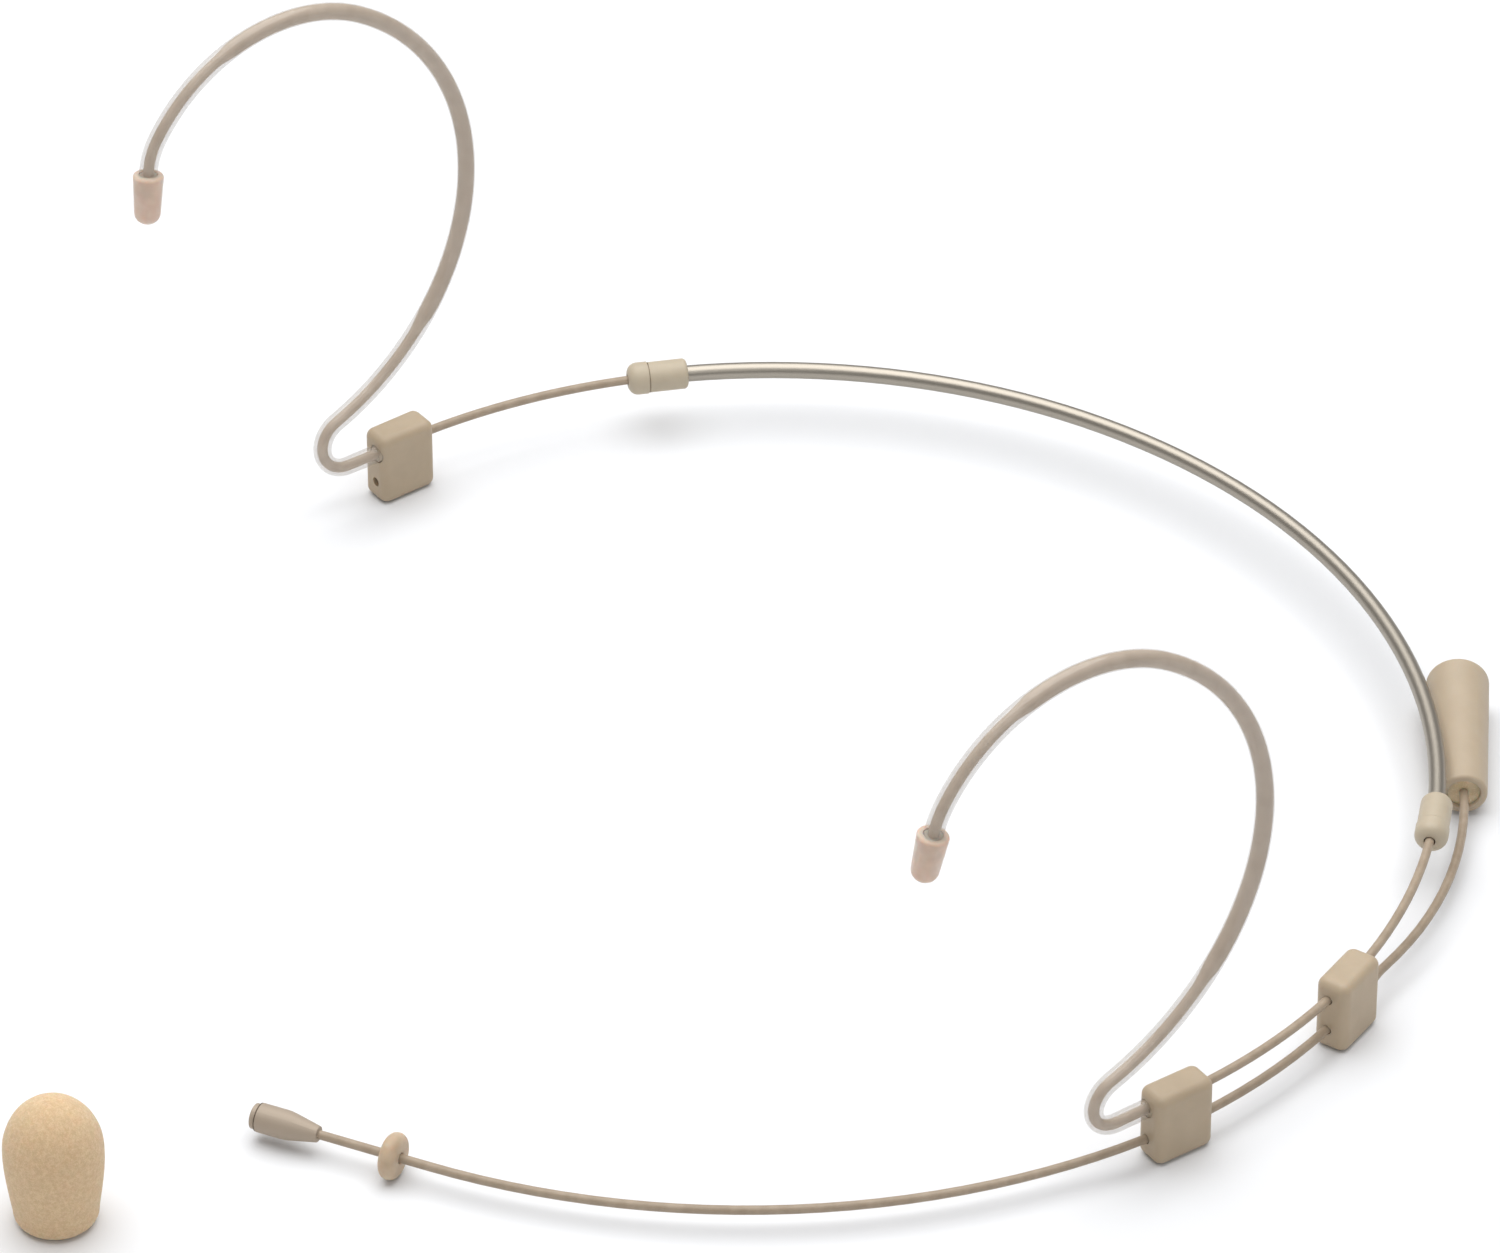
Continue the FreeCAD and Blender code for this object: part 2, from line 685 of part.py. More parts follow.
def make_connector(point, heading):
    """Tapered shell with the cable socket in its wide end."""
    place = along(point, heading)
    pieces = {
        "connector_shell": ([
            ("potting_radius", "0"), ("connector_wire_radius", "0"),
            ("connector_far_radius", "connector_length"), ("connector_cavity_radius", "connector_length"),
            ("connector_cavity_radius", "connector_cavity_start"), ("web_hole_radius", "connector_cavity_start"),
            ("web_hole_radius", "potting_end"), ("potting_radius", "potting_end"),
        ], [
            ([("connector_wire_radius", "0")], "connector_lip_round"),
            ([("connector_far_radius", "connector_length")], "connector_round"),
            ([("potting_radius", "0"), ("connector_cavity_radius", "connector_length")], "ring_lip_round"),
        ]),
        "connector_potting": ([
            ("boom_radius", "potting_start"), ("potting_radius", "potting_start"),
            ("potting_radius", "potting_end"), ("boom_radius", "potting_end"),
        ], []),
        "socket_insulator": ([
            ("contact_radius", "insulator_start"), ("connector_cavity_radius", "insulator_start"),
            ("connector_cavity_radius", "insulator_end"), ("contact_radius", "insulator_end"),
        ], []),
        "socket_contact": ([
            ("0", "contact_start"), ("contact_radius", "contact_start"),
            ("contact_radius", "insulator_end"), ("contact_bore_radius", "insulator_end"),
            ("contact_bore_radius", "insulator_end - contact_bore_depth"),
            ("0", "insulator_end - contact_bore_depth"),
        ], []),
        "socket_barrel": ([
            ("socket_bore_radius", "insulator_end"), ("connector_cavity_radius", "insulator_end"),
            ("connector_cavity_radius", "socket_end"), ("socket_bore_radius", "socket_end"),
        ], []),
    }
    for label, (corners, rounds) in pieces.items():
        keep(turned(label, corners, place, rounds))


def make_windscreen():
    """Foam windscreen, egg-shaped, with a blind bore that takes the capsule."""
    place = Placement(Vector(amount("foam_x"), amount("foam_y + footprint_shift"), 0), Rotation())
    keep(turned("windscreen", [
        ("foam_bore_radius", "0"), ("foam_base_radius", "0"), ("foam_radius", "foam_widest_at"),
        ("foam_radius", "foam_height"), ("0", "foam_height"), ("0", "foam_bore_depth"),
        ("foam_bore_radius", "foam_bore_depth"),
    ], place, [
        ([("foam_radius", "foam_height")], "foam_top_round"),
        ([("foam_base_radius", "0")], "foam_base_round"),
    ]))


# ---------------------------------------------------------------- the whole model

def check_and_write():
    """Every object has to be sound before any file is written."""
    doc.recompute()
    for item in doc.Objects:
        if "Invalid" in item.State or "Error" in item.State:
            raise RuntimeError(f"{item.Label} failed: {item.State}")
    for item in parts:
        if item.Shape.isNull() or not item.Shape.isValid() or len(item.Shape.Solids) != 1:
            raise RuntimeError(f"{item.Label} has no sound solid")
    os.makedirs("parts", exist_ok=True)
    whole = FreeCAD.BoundBox()
    for item in parts:
        item.Shape.exportStep(f"parts/{item.Label}.step")
        whole.add(item.Shape.BoundBox)
        print(f"{item.Label:22s} {item.Shape.Volume:9.3f} mm3")
    print(len(parts), "parts; box", whole)


fill_sheet()
make_band()
for ear_name, ear_side in (("left", 1), ("right", -1)):
    make_ear(ear_name, ear_side)
block("keeper_block", amount("keeper_angle"), 1, False)
capsule_end, connector_end = make_boom()
make_capsule(*capsule_end)
make_connector(*connector_end)
make_windscreen()
check_and_write()
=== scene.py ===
import json
import math

import bmesh
import bpy
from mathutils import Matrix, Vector, noise


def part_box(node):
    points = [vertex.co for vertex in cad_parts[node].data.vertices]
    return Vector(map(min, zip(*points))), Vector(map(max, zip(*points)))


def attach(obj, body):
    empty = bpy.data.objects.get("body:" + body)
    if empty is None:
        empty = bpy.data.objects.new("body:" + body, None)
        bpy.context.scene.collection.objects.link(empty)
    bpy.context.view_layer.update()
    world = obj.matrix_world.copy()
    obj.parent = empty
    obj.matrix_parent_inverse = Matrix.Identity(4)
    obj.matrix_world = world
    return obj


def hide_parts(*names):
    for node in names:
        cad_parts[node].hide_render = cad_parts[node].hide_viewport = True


MM = 0.001
UP = Vector((0, 0, 1))
SIDES = ("left", "right")

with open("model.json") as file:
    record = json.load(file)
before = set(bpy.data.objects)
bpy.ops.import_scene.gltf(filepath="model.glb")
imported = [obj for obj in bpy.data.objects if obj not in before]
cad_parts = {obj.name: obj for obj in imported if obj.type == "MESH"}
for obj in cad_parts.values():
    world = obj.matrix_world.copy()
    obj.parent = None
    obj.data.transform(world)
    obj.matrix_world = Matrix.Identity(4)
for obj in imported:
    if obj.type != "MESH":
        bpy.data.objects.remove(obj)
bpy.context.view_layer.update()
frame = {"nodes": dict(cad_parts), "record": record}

# ------------------------------------------------------------------ camera

CAMERA_AZIMUTH = math.radians(54.29)
CAMERA_ELEVATION = math.radians(36.87)
CAMERA_DISTANCE = 1.1568
CAMERA_TARGET = Vector((-27.69, 33.186, 0.0)) * MM
CAMERA_LENS = 247.57
CAMERA_SENSOR = 36.0
CAMERA_CLIP = (0.05, 20.0)


def make_camera():
    """Long lens from the front left of the wearer, looking down on the table."""
    data = bpy.data.cameras.new("camera")
    data.lens = CAMERA_LENS
    data.sensor_width = CAMERA_SENSOR
    data.clip_start, data.clip_end = CAMERA_CLIP
    camera = bpy.data.objects.new("camera", data)
    bpy.context.scene.collection.objects.link(camera)
    level = math.cos(CAMERA_ELEVATION)
    back = Vector((math.sin(CAMERA_AZIMUTH) * level,
                   -math.cos(CAMERA_AZIMUTH) * level,
                   math.sin(CAMERA_ELEVATION)))
    camera.location = CAMERA_TARGET + back * CAMERA_DISTANCE
    camera.rotation_euler = back.to_track_quat("Z", "Y").to_euler()
    bpy.context.scene.camera = camera


# ------------------------------------------------------------------ materials

NOISE_RANGE = (0.3, 0.7)


def srgb(red, green, blue):
    """Linear colour of an sRGB value from 0 to 255."""
    parts = []
    for channel in (red, green, blue):
        share = channel / 255
        parts.append(share / 12.92 if share <= 0.04045 else ((share + 0.055) / 1.055) ** 2.4)
    return (*parts, 1.0)


def new_material(name, **sockets):
    """A material with a Principled shader whose uniform values sit on its own sockets."""
    material = bpy.data.materials.new(name)
    material.use_nodes = True
    shader = material.node_tree.nodes["Principled BSDF"]
    for socket, value in sockets.items():
        shader.inputs[socket.replace("_", " ")].default_value = value
    return material, shader


def node(material, kind, **settings):
    """A node with its settings; names that are sockets are set as their values."""
    made = material.node_tree.nodes.new(kind)
    for key, value in settings.items():
        label = key.replace("_", " ")
        if label in made.inputs:
            made.inputs[label].default_value = value
        else:
            setattr(made, key, value)
    return made


def link(material, source, target):
    material.node_tree.links.new(source, target)


def place(material):
    """Object coordinates, in metres."""
    return node(material, "ShaderNodeTexCoord").outputs["Object"]


def grain(material, size_mm, detail=3.0, roughness=0.55):
    """Noise with features of about the given size."""
    texture = node(
        material, "ShaderNodeTexNoise",
        Scale=1.0 / (size_mm * MM), Detail=detail, Roughness=roughness)
    link(material, place(material), texture.inputs["Vector"])
    return texture.outputs["Fac"]


def shades(material, factor, dark, light, low=0.35, high=0.65):
    """A colour that runs from dark to light as the factor runs from low to high."""
    ramp = node(material, "ShaderNodeValToRGB")
    ramp.color_ramp.elements[0].position = low
    ramp.color_ramp.elements[0].color = dark
    ramp.color_ramp.elements[1].position = high
    ramp.color_ramp.elements[1].color = light
    link(material, factor, ramp.inputs["Fac"])
    return ramp.outputs["Color"]


def spread(material, factor, low, high):
    """The factor, which noise keeps mostly in NOISE_RANGE, mapped to a range of values."""
    mapped = node(material, "ShaderNodeMapRange")
    mapped.inputs["From Min"].default_value = NOISE_RANGE[0]
    mapped.inputs["From Max"].default_value = NOISE_RANGE[1]
    mapped.inputs["To Min"].default_value = low
    mapped.inputs["To Max"].default_value = high
    link(material, factor, mapped.inputs["Value"])
    return mapped.outputs["Result"]


def bumped(material, shader, height, depth_mm):
    """Surface relief of the given depth."""
    bump = node(material, "ShaderNodeBump", Strength=1.0, Distance=depth_mm * MM)
    link(material, height, bump.inputs["Height"])
    link(material, bump.outputs["Normal"], shader.inputs["Normal"])


def moulded(name, dark, light, roughness, grain_mm=0.16, depth_mm=0.012, translucent=0.25):
    """Moulded plastic: faint flow marks, a fine spark-eroded grain and slightly translucent edges."""
    material, shader = new_material(
        name, Subsurface_Weight=translucent, Subsurface_Scale=0.0006, IOR=1.5)
    shader.inputs["Subsurface Radius"].default_value = (1.0, 0.6, 0.35)
    link(material, shades(material, grain(material, 3.0, 2.0), dark, light), shader.inputs["Base Color"])
    fine = grain(material, grain_mm)
    link(material, spread(material, fine, roughness - 0.06, roughness + 0.06), shader.inputs["Roughness"])
    bumped(material, shader, fine, depth_mm)
    return material


def coated_wire(name, dark, light):
    """Extruded coating: satin, with faint marks along the wire."""
    material, shader = new_material(name, Subsurface_Weight=0.1, Subsurface_Scale=0.0003, IOR=1.48)
    shader.inputs["Subsurface Radius"].default_value = (1.0, 0.6, 0.4)
    link(material, shades(material, grain(material, 1.4, 3.0), dark, light), shader.inputs["Base Color"])
    fine = grain(material, 0.12)
    link(material, spread(material, fine, 0.38, 0.52), shader.inputs["Roughness"])
    bumped(material, shader, fine, 0.006)
    return material


def satin_metal(name, dark, light, roughness, grain_mm=0.08):
    """Drawn or blasted metal: fine grain in its colour, gloss and surface."""
    material, shader = new_material(name, Metallic=1.0)
    fine = grain(material, grain_mm, 4.0)
    link(material, shades(material, fine, dark, light), shader.inputs["Base Color"])
    link(material, spread(material, fine, roughness - 0.05, roughness + 0.05), shader.inputs["Roughness"])
    bumped(material, shader, fine, 0.003)
    return material


def painted_metal(name, dark, light, roughness):
    """Satin metallic paint on the capsule."""
    material, shader = new_material(
        name, Metallic=0.2, Coat_Weight=0.1, Coat_Roughness=0.45)
    fine = grain(material, 0.05, 4.0)
    link(material, shades(material, fine, dark, light), shader.inputs["Base Color"])
    link(material, spread(material, fine, roughness - 0.05, roughness + 0.07), shader.inputs["Roughness"])
    bumped(material, shader, fine, 0.004)
    return material


def clear_tube(name, dark, light):
    """Clear soft tube: a glossy, mostly see-through skin. A ray crosses it up to four times."""
    material, shader = new_material(
        name, Alpha=0.3, IOR=1.45, Coat_Weight=1.0, Coat_Roughness=0.06)
    link(material, shades(material, grain(material, 2.0, 2.0), dark, light), shader.inputs["Base Color"])
    fine = grain(material, 0.9, 2.0)
    link(material, spread(material, fine, 0.08, 0.2), shader.inputs["Roughness"])
    bumped(material, shader, fine, 0.008)
    return material


def silicone(name, dark, light, roughness, clearness, depth_mm=1.2, rim=0.0):
    """Soft silicone: light goes about depth_mm into it and scatters, and its rim may look paler."""
    material, shader = new_material(
        name, Subsurface_Weight=1.0, Subsurface_Scale=depth_mm * MM,
        Transmission_Weight=clearness, IOR=1.41, Sheen_Weight=rim, Sheen_Roughness=0.35)
    shader.inputs["Subsurface Radius"].default_value = (1.0, 0.55, 0.4)
    link(material, shades(material, grain(material, 1.5, 2.0), dark, light), shader.inputs["Base Color"])
    fine = grain(material, 0.2)
    link(material, spread(material, fine, roughness - 0.07, roughness + 0.07), shader.inputs["Roughness"])
    bumped(material, shader, fine, 0.008)
    return material


# How far the pores sink in the bump and darken in colour; their darkening is painted shade.
FOAM_PORE_DEPTH_AND_SHADE = -0.35


def open_foam(name, dark, light):
    """Open-cell foam: small pores that are deeper than the skin and coloured darker, which is painted shade
    in the pores; blotches of the foam's own uneven tone lie over them.
    """
    material, shader = new_material(
        name, Roughness=0.95, Sheen_Weight=0.12, Sheen_Roughness=0.6,
        Subsurface_Weight=0.35, Subsurface_Scale=0.001)
    shader.inputs["Specular IOR Level"].default_value = 0.15
    cells = node(material, "ShaderNodeTexVoronoi", Scale=1.0 / (0.15 * MM), Randomness=1.0)
    link(material, place(material), cells.inputs["Vector"])
    blotches = grain(material, 0.5, 4.0, 0.7)
    surface = node(material, "ShaderNodeMath", operation="MULTIPLY_ADD")
    surface.inputs[1].default_value = FOAM_PORE_DEPTH_AND_SHADE
    link(material, cells.outputs["Distance"], surface.inputs[0])
    link(material, blotches, surface.inputs[2])
    # The cells' edges come out darker here: painted shade in the pores. The blotches are the foam's own
    # uneven tone.
    link(material, shades(material, surface.outputs["Value"], dark, light, 0.18, 0.55),
         shader.inputs["Base Color"])
    bumped(material, shader, surface.outputs["Value"], 0.045)
    return material


def woven_screen(name, shaded_gap, thread):
    """Fine metal gauze: gaps and threads in a checker pattern. The gaps are coloured dark as painted shade,
    seen through the holes.
    """
    material, shader = new_material(name, Metallic=1.0, Roughness=0.45)
    threads = node(material, "ShaderNodeTexChecker", Scale=1.0 / (0.09 * MM))
    # The gaps' dark colour is painted shade, where one would look into the dark inside of the capsule.
    threads.inputs["Color1"].default_value = shaded_gap
    threads.inputs["Color2"].default_value = thread
    link(material, place(material), threads.inputs["Vector"])
    link(material, threads.outputs["Color"], shader.inputs["Base Color"])
    bumped(material, shader, threads.outputs["Fac"], 0.02)
    return material


def make_materials():
    """Every material by its slot in the record, and those of the pieces that differ from their slot."""
    return {
        "band_metal": satin_metal("drawn_steel", srgb(158, 151, 140), srgb(172, 165, 154), roughness=0.4),
        "moulding": moulded("beige_moulding", srgb(177, 159, 134), srgb(182, 164, 139), roughness=0.5),
        "gland_moulding": moulded(
            "cream_moulding", srgb(183, 170, 148), srgb(188, 175, 153), roughness=0.5, translucent=0.1),
        "connector_moulding": moulded(
            "connector_moulding", srgb(178, 161, 138), srgb(181, 165, 142), roughness=0.52),
        "wire_coat": coated_wire("beige_coating", srgb(157, 140, 120), srgb(168, 151, 131)),
        "hook_core": coated_wire("hook_core_coating", srgb(188, 171, 153), srgb(198, 181, 163)),
        "clear_sleeve": clear_tube("clear_tube", srgb(184, 173, 160), srgb(197, 187, 175)),
        "tip_silicone": silicone(
            "pale_silicone", srgb(218, 195, 177), srgb(228, 206, 189),
            roughness=0.42, clearness=0.2, depth_mm=1.2, rim=0.6),
        "ring_silicone": silicone(
            "tan_silicone", srgb(188, 167, 142), srgb(196, 177, 152),
            roughness=0.5, clearness=0.0, depth_mm=0.6),
        "capsule_coat": painted_metal(
            "satin_tan_paint", srgb(164, 149, 132), srgb(176, 161, 144), roughness=0.58),
        # Dark moulding for the capsule's seam line, which is painted shade in the gap between barrel and
        # front cap.
        "seam": moulded("painted_seam_shade", srgb(86, 74, 60), srgb(98, 85, 70), roughness=0.6, translucent=0.0),
        "potting": silicone(
            "cured_adhesive", srgb(204, 184, 150), srgb(218, 198, 164),
            roughness=0.25, clearness=0.05, depth_mm=0.4),
        "socket_metal": satin_metal(
            "plated_barrel", srgb(180, 180, 180), srgb(205, 205, 205), roughness=0.22),
        "contact_gold": satin_metal("gold_plate", srgb(212, 172, 86), srgb(232, 194, 110), roughness=0.25),
        "insulator": moulded(
            "dark_insulator", srgb(38, 37, 36), srgb(48, 47, 45), roughness=0.5, translucent=0.0),
        "cable_jacket": moulded(
            "cable_jacket", srgb(58, 56, 54), srgb(70, 67, 64), roughness=0.55, translucent=0.0),
        "bush_rubber": moulded(
            "bush_rubber", srgb(34, 33, 32), srgb(44, 42, 40), roughness=0.65, translucent=0.0),
        # The darker colour is the gauze's gaps, painted shade.
        "screen_metal": woven_screen("gauze", srgb(60, 56, 50), srgb(150, 140, 125)),
        "element_can": satin_metal("element_can", srgb(196, 196, 194), srgb(214, 214, 212), roughness=0.3),
        "circuit_board": moulded(
            "circuit_board", srgb(24, 66, 40), srgb(34, 84, 52), roughness=0.45, translucent=0.0),
        "foam": open_foam("open_cell_foam", srgb(204, 175, 138), srgb(222, 196, 160)),
    }


def dress_cad_nodes(materials):
    """Each CAD node gets the material of its slot in the record. The glands' moulding is paler than
    the blocks', and the hooks' wire is paler than the bare wires."""
    kinds = {part["node"]: part["material_slot"] for part in frame["record"]["subparts"]}
    for side_name in SIDES:
        kinds[f"{side_name}_gland"] = "gland_moulding"
        kinds[f"{side_name}_hook_core"] = "hook_core"
    for name, piece in frame["nodes"].items():
        piece.data.materials.clear()
        piece.data.materials.append(materials[kinds[name]])


# ------------------------------------------------------------------ mesh helpers

def mesh_piece(name, points, faces, material, body):
    """A smooth-shaded piece that rides on a body."""
    mesh = bpy.data.meshes.new(name)
    mesh.from_pydata([tuple(p) for p in points], [], faces)
    mesh.validate()
    mesh.update()
    for face in mesh.polygons:
        face.use_smooth = True
    mesh.materials.append(material)
    piece = bpy.data.objects.new(name, mesh)
    bpy.context.scene.collection.objects.link(piece)
    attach(piece, body)
    return piece


def turned_mesh(profile, origin, around):
    """Points and faces of a closed outline (radius, height) turned about a vertical axis.
    The outline starts and ends on the axis, and has the given number of steps around it."""
    points = [origin + Vector((0, 0, profile[0][1]))]
    for radius, height in profile[1:-1]:
        for step in range(around):
            turn = 2 * math.pi * step / around
            points.append(origin + Vector((radius * math.cos(turn), radius * math.sin(turn), height)))
    points.append(origin + Vector((0, 0, profile[-1][1])))
    rings = len(profile) - 2
    last = len(points) - 1
    faces = []
    for step in range(around):
        after = (step + 1) % around
        faces.append((0, 1 + after, 1 + step))
        faces.append((last, 1 + (rings - 1) * around + step, 1 + (rings - 1) * around + after))
        for ring in range(rings - 1):
            low, high = 1 + ring * around, 1 + (ring + 1) * around
            faces.append((low + step, low + after, high + after, high + step))
    return points, faces


# ------------------------------------------------------------------ windscreen

FOAM_BASE_RADIUS = 4.55 * MM
FOAM_WIDEST = 9.2 * MM
FOAM_CORNER = 1.5 * MM
FOAM_BORE_RADIUS = 1.45 * MM
FOAM_BORE_DEPTH = 9.0 * MM
FOAM_BORE_STEPS = 20
FOAM_LIP = 0.5 * MM
FOAM_LIP_STEPS = 6
FOAM_CORNER_STEPS = 12
FOAM_SIDE_STEPS = 40
FOAM_SIDE_FULLNESS = 1.15
FOAM_DOME_STEPS = 48
FOAM_AROUND = 160
FOAM_ROUGHNESS = 0.035 * MM
FOAM_COARSE_SHARE = 0.6
FOAM_LUMPS_PER_M = 700
FOAM_PORES_PER_M = 4200
FOAM_DOME_LIFT = 0.6
QUARTER_TURN = math.pi / 2


def foam_profile(radius, height):
    """Closed outline of the foam egg, from the bottom of its bore round to its top."""
    outline = [(0.0, FOAM_BORE_DEPTH)]
    outline += [(FOAM_BORE_RADIUS * share, FOAM_BORE_DEPTH) for share in (0.4, 0.8)]
    outline += [(FOAM_BORE_RADIUS, FOAM_BORE_DEPTH * (1 - step / FOAM_BORE_STEPS))
                for step in range(1, FOAM_BORE_STEPS - 1)]
    for step in range(FOAM_LIP_STEPS + 1):
        turn = QUARTER_TURN * step / FOAM_LIP_STEPS
        outline.append((FOAM_BORE_RADIUS + FOAM_LIP * (1 - math.cos(turn)), FOAM_LIP * (1 - math.sin(turn))))
    flat_start = FOAM_BORE_RADIUS + FOAM_LIP
    flat_end = FOAM_BASE_RADIUS - FOAM_CORNER
    outline += [(flat_start + (flat_end - flat_start) * share, 0.0) for share in (0.25, 0.5, 0.75)]
    for step in range(FOAM_CORNER_STEPS + 1):
        turn = QUARTER_TURN * step / FOAM_CORNER_STEPS
        outline.append((flat_end + FOAM_CORNER * math.sin(turn), FOAM_CORNER * (1 - math.cos(turn))))
    for step in range(1, FOAM_SIDE_STEPS + 1):
        share = step / FOAM_SIDE_STEPS
        swell = math.sin(share * QUARTER_TURN) ** FOAM_SIDE_FULLNESS
        outline.append((FOAM_BASE_RADIUS + (radius - FOAM_BASE_RADIUS) * swell,
                        FOAM_CORNER + (FOAM_WIDEST - FOAM_CORNER) * share))
    for step in range(1, FOAM_DOME_STEPS):
        turn = QUARTER_TURN * step / FOAM_DOME_STEPS
        outline.append((radius * math.cos(turn), FOAM_WIDEST + (height - FOAM_WIDEST) * math.sin(turn)))
    outline.append((0.0, height))
    return outline


def make_windscreen(materials):
    """Foam egg standing on its open end, its cut surface slightly uneven."""
    low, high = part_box("windscreen")
    origin = Vector(((low.x + high.x) / 2, (low.y + high.y) / 2, low.z))
    points, faces = turned_mesh(foam_profile((high.x - low.x) / 2, high.z - low.z), origin, FOAM_AROUND)
    for point in points:
        local = point - origin
        outward = Vector((local.x, local.y, (local.z - FOAM_WIDEST) * FOAM_DOME_LIFT)).normalized()
        lumps = noise.noise(local * FOAM_LUMPS_PER_M)
        pores = noise.noise(local * FOAM_PORES_PER_M)
        uneven = FOAM_COARSE_SHARE * lumps + (1 - FOAM_COARSE_SHARE) * pores
        point += outward * FOAM_ROUGHNESS * uneven
        point.z = max(point.z, low.z)
    piece = mesh_piece("foam_windscreen", points, faces, materials["foam"], "windscreen")
    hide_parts("windscreen")


# ------------------------------------------------------------------ ear hooks

# How far the wire's look is widened, in the middle of the hook and towards its ends.
HOOK_WIDE = 0.4 * MM
HOOK_NARROW = 0.1 * MM
# Where the ends' look fades into the middle's, above the core's lowest point and behind its foremost.
HOOK_CLEAR_LOW = 14.5 * MM
HOOK_CLEAR_FRONT = 10.4 * MM
HOOK_FADE = 2.5 * MM

PLUG_RADIUS = 1.03 * MM
PLUG_DEPTH = 0.8 * MM
PLUG_INSET = 0.12 * MM
TURNED_STEPS = 48
# An end face's points lie within this of its outermost one, because the face is tilted.
END_TILT = 0.5 * MM
SLEEVE_IN_CAP = 1.9 * MM
# The hook's socket in a block is lower than this above the block's bottom.
SOCKET_TOP = 8.9 * MM


def eased(value, start, length):
    """0 before start, 1 after start + length, smooth between."""
    share = min(max((value - start) / length, 0.0), 1.0)
    return share * share * (3 - 2 * share)


def make_hook_filling(side_name, materials):
    """A wider skin over the core that stands in for the tube magnifying it. It isn't a real piece."""
    core = frame["nodes"][f"{side_name}_hook_core"]
    low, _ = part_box(core.name)
    shape = bmesh.new()
    shape.from_mesh(core.data)
    bmesh.ops.remove_doubles(shape, verts=shape.verts, dist=0.01 * MM)
    shape.transform(core.matrix_world)
    shape.normal_update()
    points = []
    for vertex in shape.verts:
        middle = eased(vertex.co.z - low.z, HOOK_CLEAR_LOW, HOOK_FADE)
        middle *= eased(vertex.co.y - low.y, HOOK_CLEAR_FRONT, HOOK_FADE)
        points.append(vertex.co + vertex.normal * (HOOK_NARROW + (HOOK_WIDE - HOOK_NARROW) * middle))
    faces = [[vertex.index for vertex in face.verts] for face in shape.faces]
    shape.free()
    mesh_piece(f"{side_name}_hook_filling", points, faces, materials["hook_core"],
               f"{side_name}_side")


def points_of(node_name):
    return [vertex.co.copy() for vertex in frame["nodes"][node_name].data.vertices]


def middle_of(points):
    return sum(points, Vector()) / len(points)


def disc(base, axis, radius, depth):
    """Points and faces of a flat round piece that stands on its base's centre along an axis."""
    profile = [(0.0, 0.0), (radius * 0.5, 0.0), (radius, 0.0), (radius, depth), (0.0, depth)]
    points, faces = turned_mesh(profile, base, TURNED_STEPS)
    turn = UP.rotation_difference(axis)
    return [base + turn @ (point - base) for point in points], faces


def end_in_cap(points, cap_high):
    """Centre of the lower end of the points that lie below and in front of the cap's highest corner."""
    inside = [point for point in points if point.z < cap_high.z and point.y < cap_high.y]
    lowest = min(point.z for point in inside)
    return middle_of([point for point in inside if point.z < lowest + END_TILT])


def make_cap_rim(side_name, materials):
    """A pale disc that hides the dark socket of the tip cap behind the tube. It isn't a real piece."""
    _, cap_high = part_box(f"{side_name}_tip_cap")
    core_end = end_in_cap(points_of(f"{side_name}_hook_core"), cap_high)
    sleeve_end = end_in_cap(points_of(f"{side_name}_hook_sleeve"), cap_high)
    axis = (core_end - sleeve_end).normalized()
    mouth = sleeve_end - axis * SLEEVE_IN_CAP
    points, faces = disc(mouth + axis * PLUG_INSET, axis, PLUG_RADIUS, PLUG_DEPTH)
    mesh_piece(f"{side_name}_cap_rim", points, faces, materials["tip_silicone"],
               f"{side_name}_side")


def make_block_glue(side_name, materials):
    """A disc that hides the dark socket of the block behind the tube. It isn't a real piece."""
    block_low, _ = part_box(f"{side_name}_ear_block")
    in_reach = [point for point in points_of(f"{side_name}_hook_core") if point.z < block_low.z + SOCKET_TOP]
    back = max(point.y for point in in_reach)
    core_end = middle_of([point for point in in_reach if point.y > back - END_TILT])
    mouth = Vector((core_end.x, block_low.y + PLUG_INSET, core_end.z))
    points, faces = disc(mouth, Vector((0, 1, 0)), PLUG_RADIUS, PLUG_DEPTH)
    mesh_piece(f"{side_name}_block_glue", points, faces, materials["moulding"],
               f"{side_name}_side")


# ------------------------------------------------------------------ capsule

SEAM_WIDTH = 0.1 * MM
SEAM_INSIDE = 0.03 * MM


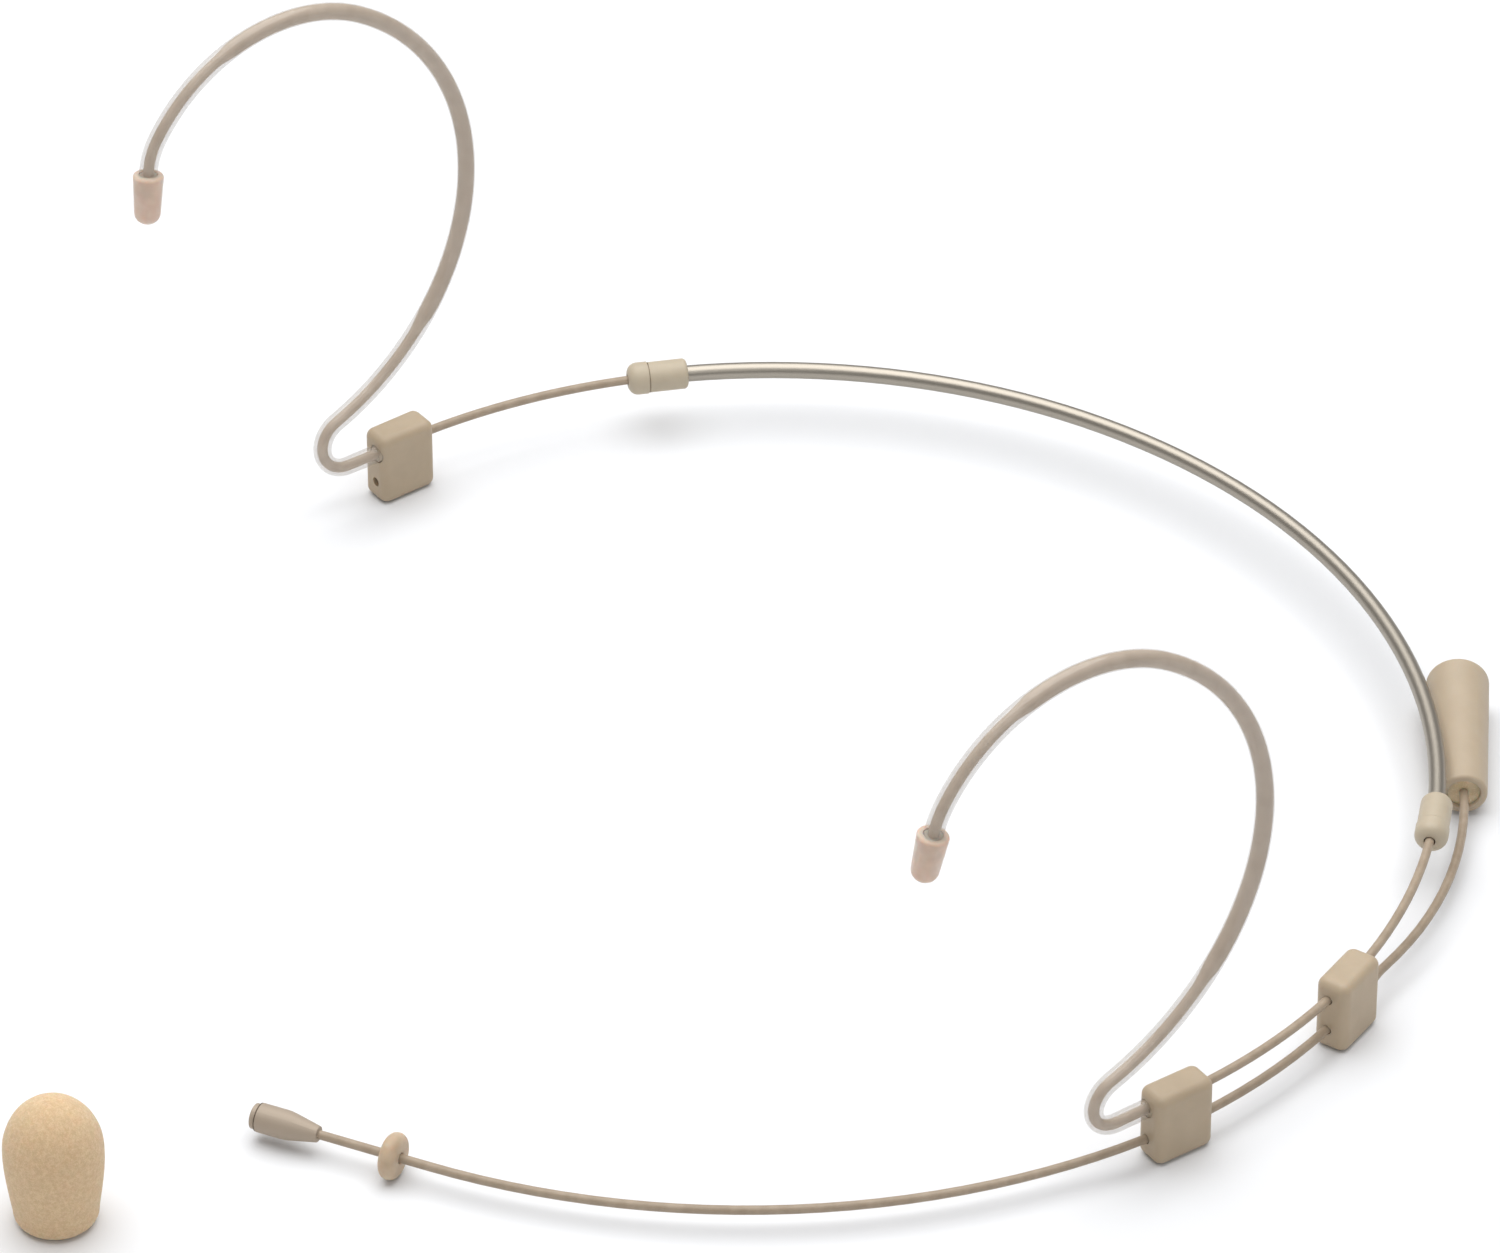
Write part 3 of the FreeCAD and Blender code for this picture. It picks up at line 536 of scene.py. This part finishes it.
def make_capsule_seam(materials):
    """Dark disc whose edge stands in for the seam between the capsule's barrel and its front cap: its dark
    edge is painted shade in the seam's gap.
    """
    barrel = next(mount for mount in frame["record"]["mounts"] if mount["name"] == "capsule_barrel")
    axis = Vector(barrel["axis"]).normalized()
    shoulder = Vector(barrel["pos_m"]) + axis * (barrel["dims"]["length_mm"] / 2 * MM)
    radius = barrel["dims"]["r_mm"] * MM - SEAM_INSIDE
    points, faces = disc(shoulder, axis, radius, SEAM_WIDTH)
    mesh_piece("capsule_seam", points, faces, materials["seam"], "boom")


# ------------------------------------------------------------------ stage

FLOOR_HALF = 6.0
FLOOR_CLOUD_MM = 400.0
WORLD_STRENGTH = 0.36


def make_floor():
    """Pale matt table top, far larger than the view."""
    corners = [(-FLOOR_HALF, -FLOOR_HALF, 0), (FLOOR_HALF, -FLOOR_HALF, 0),
               (FLOOR_HALF, FLOOR_HALF, 0), (-FLOOR_HALF, FLOOR_HALF, 0)]
    mesh = bpy.data.meshes.new("floor")
    mesh.from_pydata(corners, [], [(0, 1, 2, 3)])
    material, shader = new_material("floor", Roughness=0.9, Specular_IOR_Level=0.0)
    clouds = shades(material, grain(material, FLOOR_CLOUD_MM), srgb(231, 232, 234), srgb(234, 235, 237))
    link(material, clouds, shader.inputs["Base Color"])
    mesh.materials.append(material)
    floor = bpy.data.objects.new("floor", mesh)
    bpy.context.scene.collection.objects.link(floor)


def area_light(name, place_m, size, power):
    """Round lamp aimed at the origin."""
    data = bpy.data.lights.new(name, "AREA")
    data.shape = "DISK"
    data.size = size
    data.energy = power
    lamp = bpy.data.objects.new(name, data)
    lamp.location = place_m
    lamp.rotation_euler = Vector(place_m).to_track_quat("Z", "Y").to_euler()
    bpy.context.scene.collection.objects.link(lamp)


def make_light():
    """A large soft lamp overhead, a faint one in front on the left, and a white surround."""
    world = bpy.data.worlds.new("surround")
    world.use_nodes = True
    surround = world.node_tree.nodes["Background"]
    surround.inputs["Color"].default_value = (1, 1, 1, 1)
    surround.inputs["Strength"].default_value = WORLD_STRENGTH
    bpy.context.scene.world = world
    area_light("overhead", (-0.22, 0.1, 1.05), size=1.6, power=17.0)
    area_light("front", (0.75, -0.25, 0.75), size=0.5, power=0.8)


make_camera()
bpy.context.scene.view_settings.view_transform = "Standard"
made = make_materials()
dress_cad_nodes(made)
make_windscreen(made)
for side in SIDES:
    make_hook_filling(side, made)
    make_cap_rim(side, made)
    make_block_glue(side, made)
make_capsule_seam(made)
make_floor()
make_light()
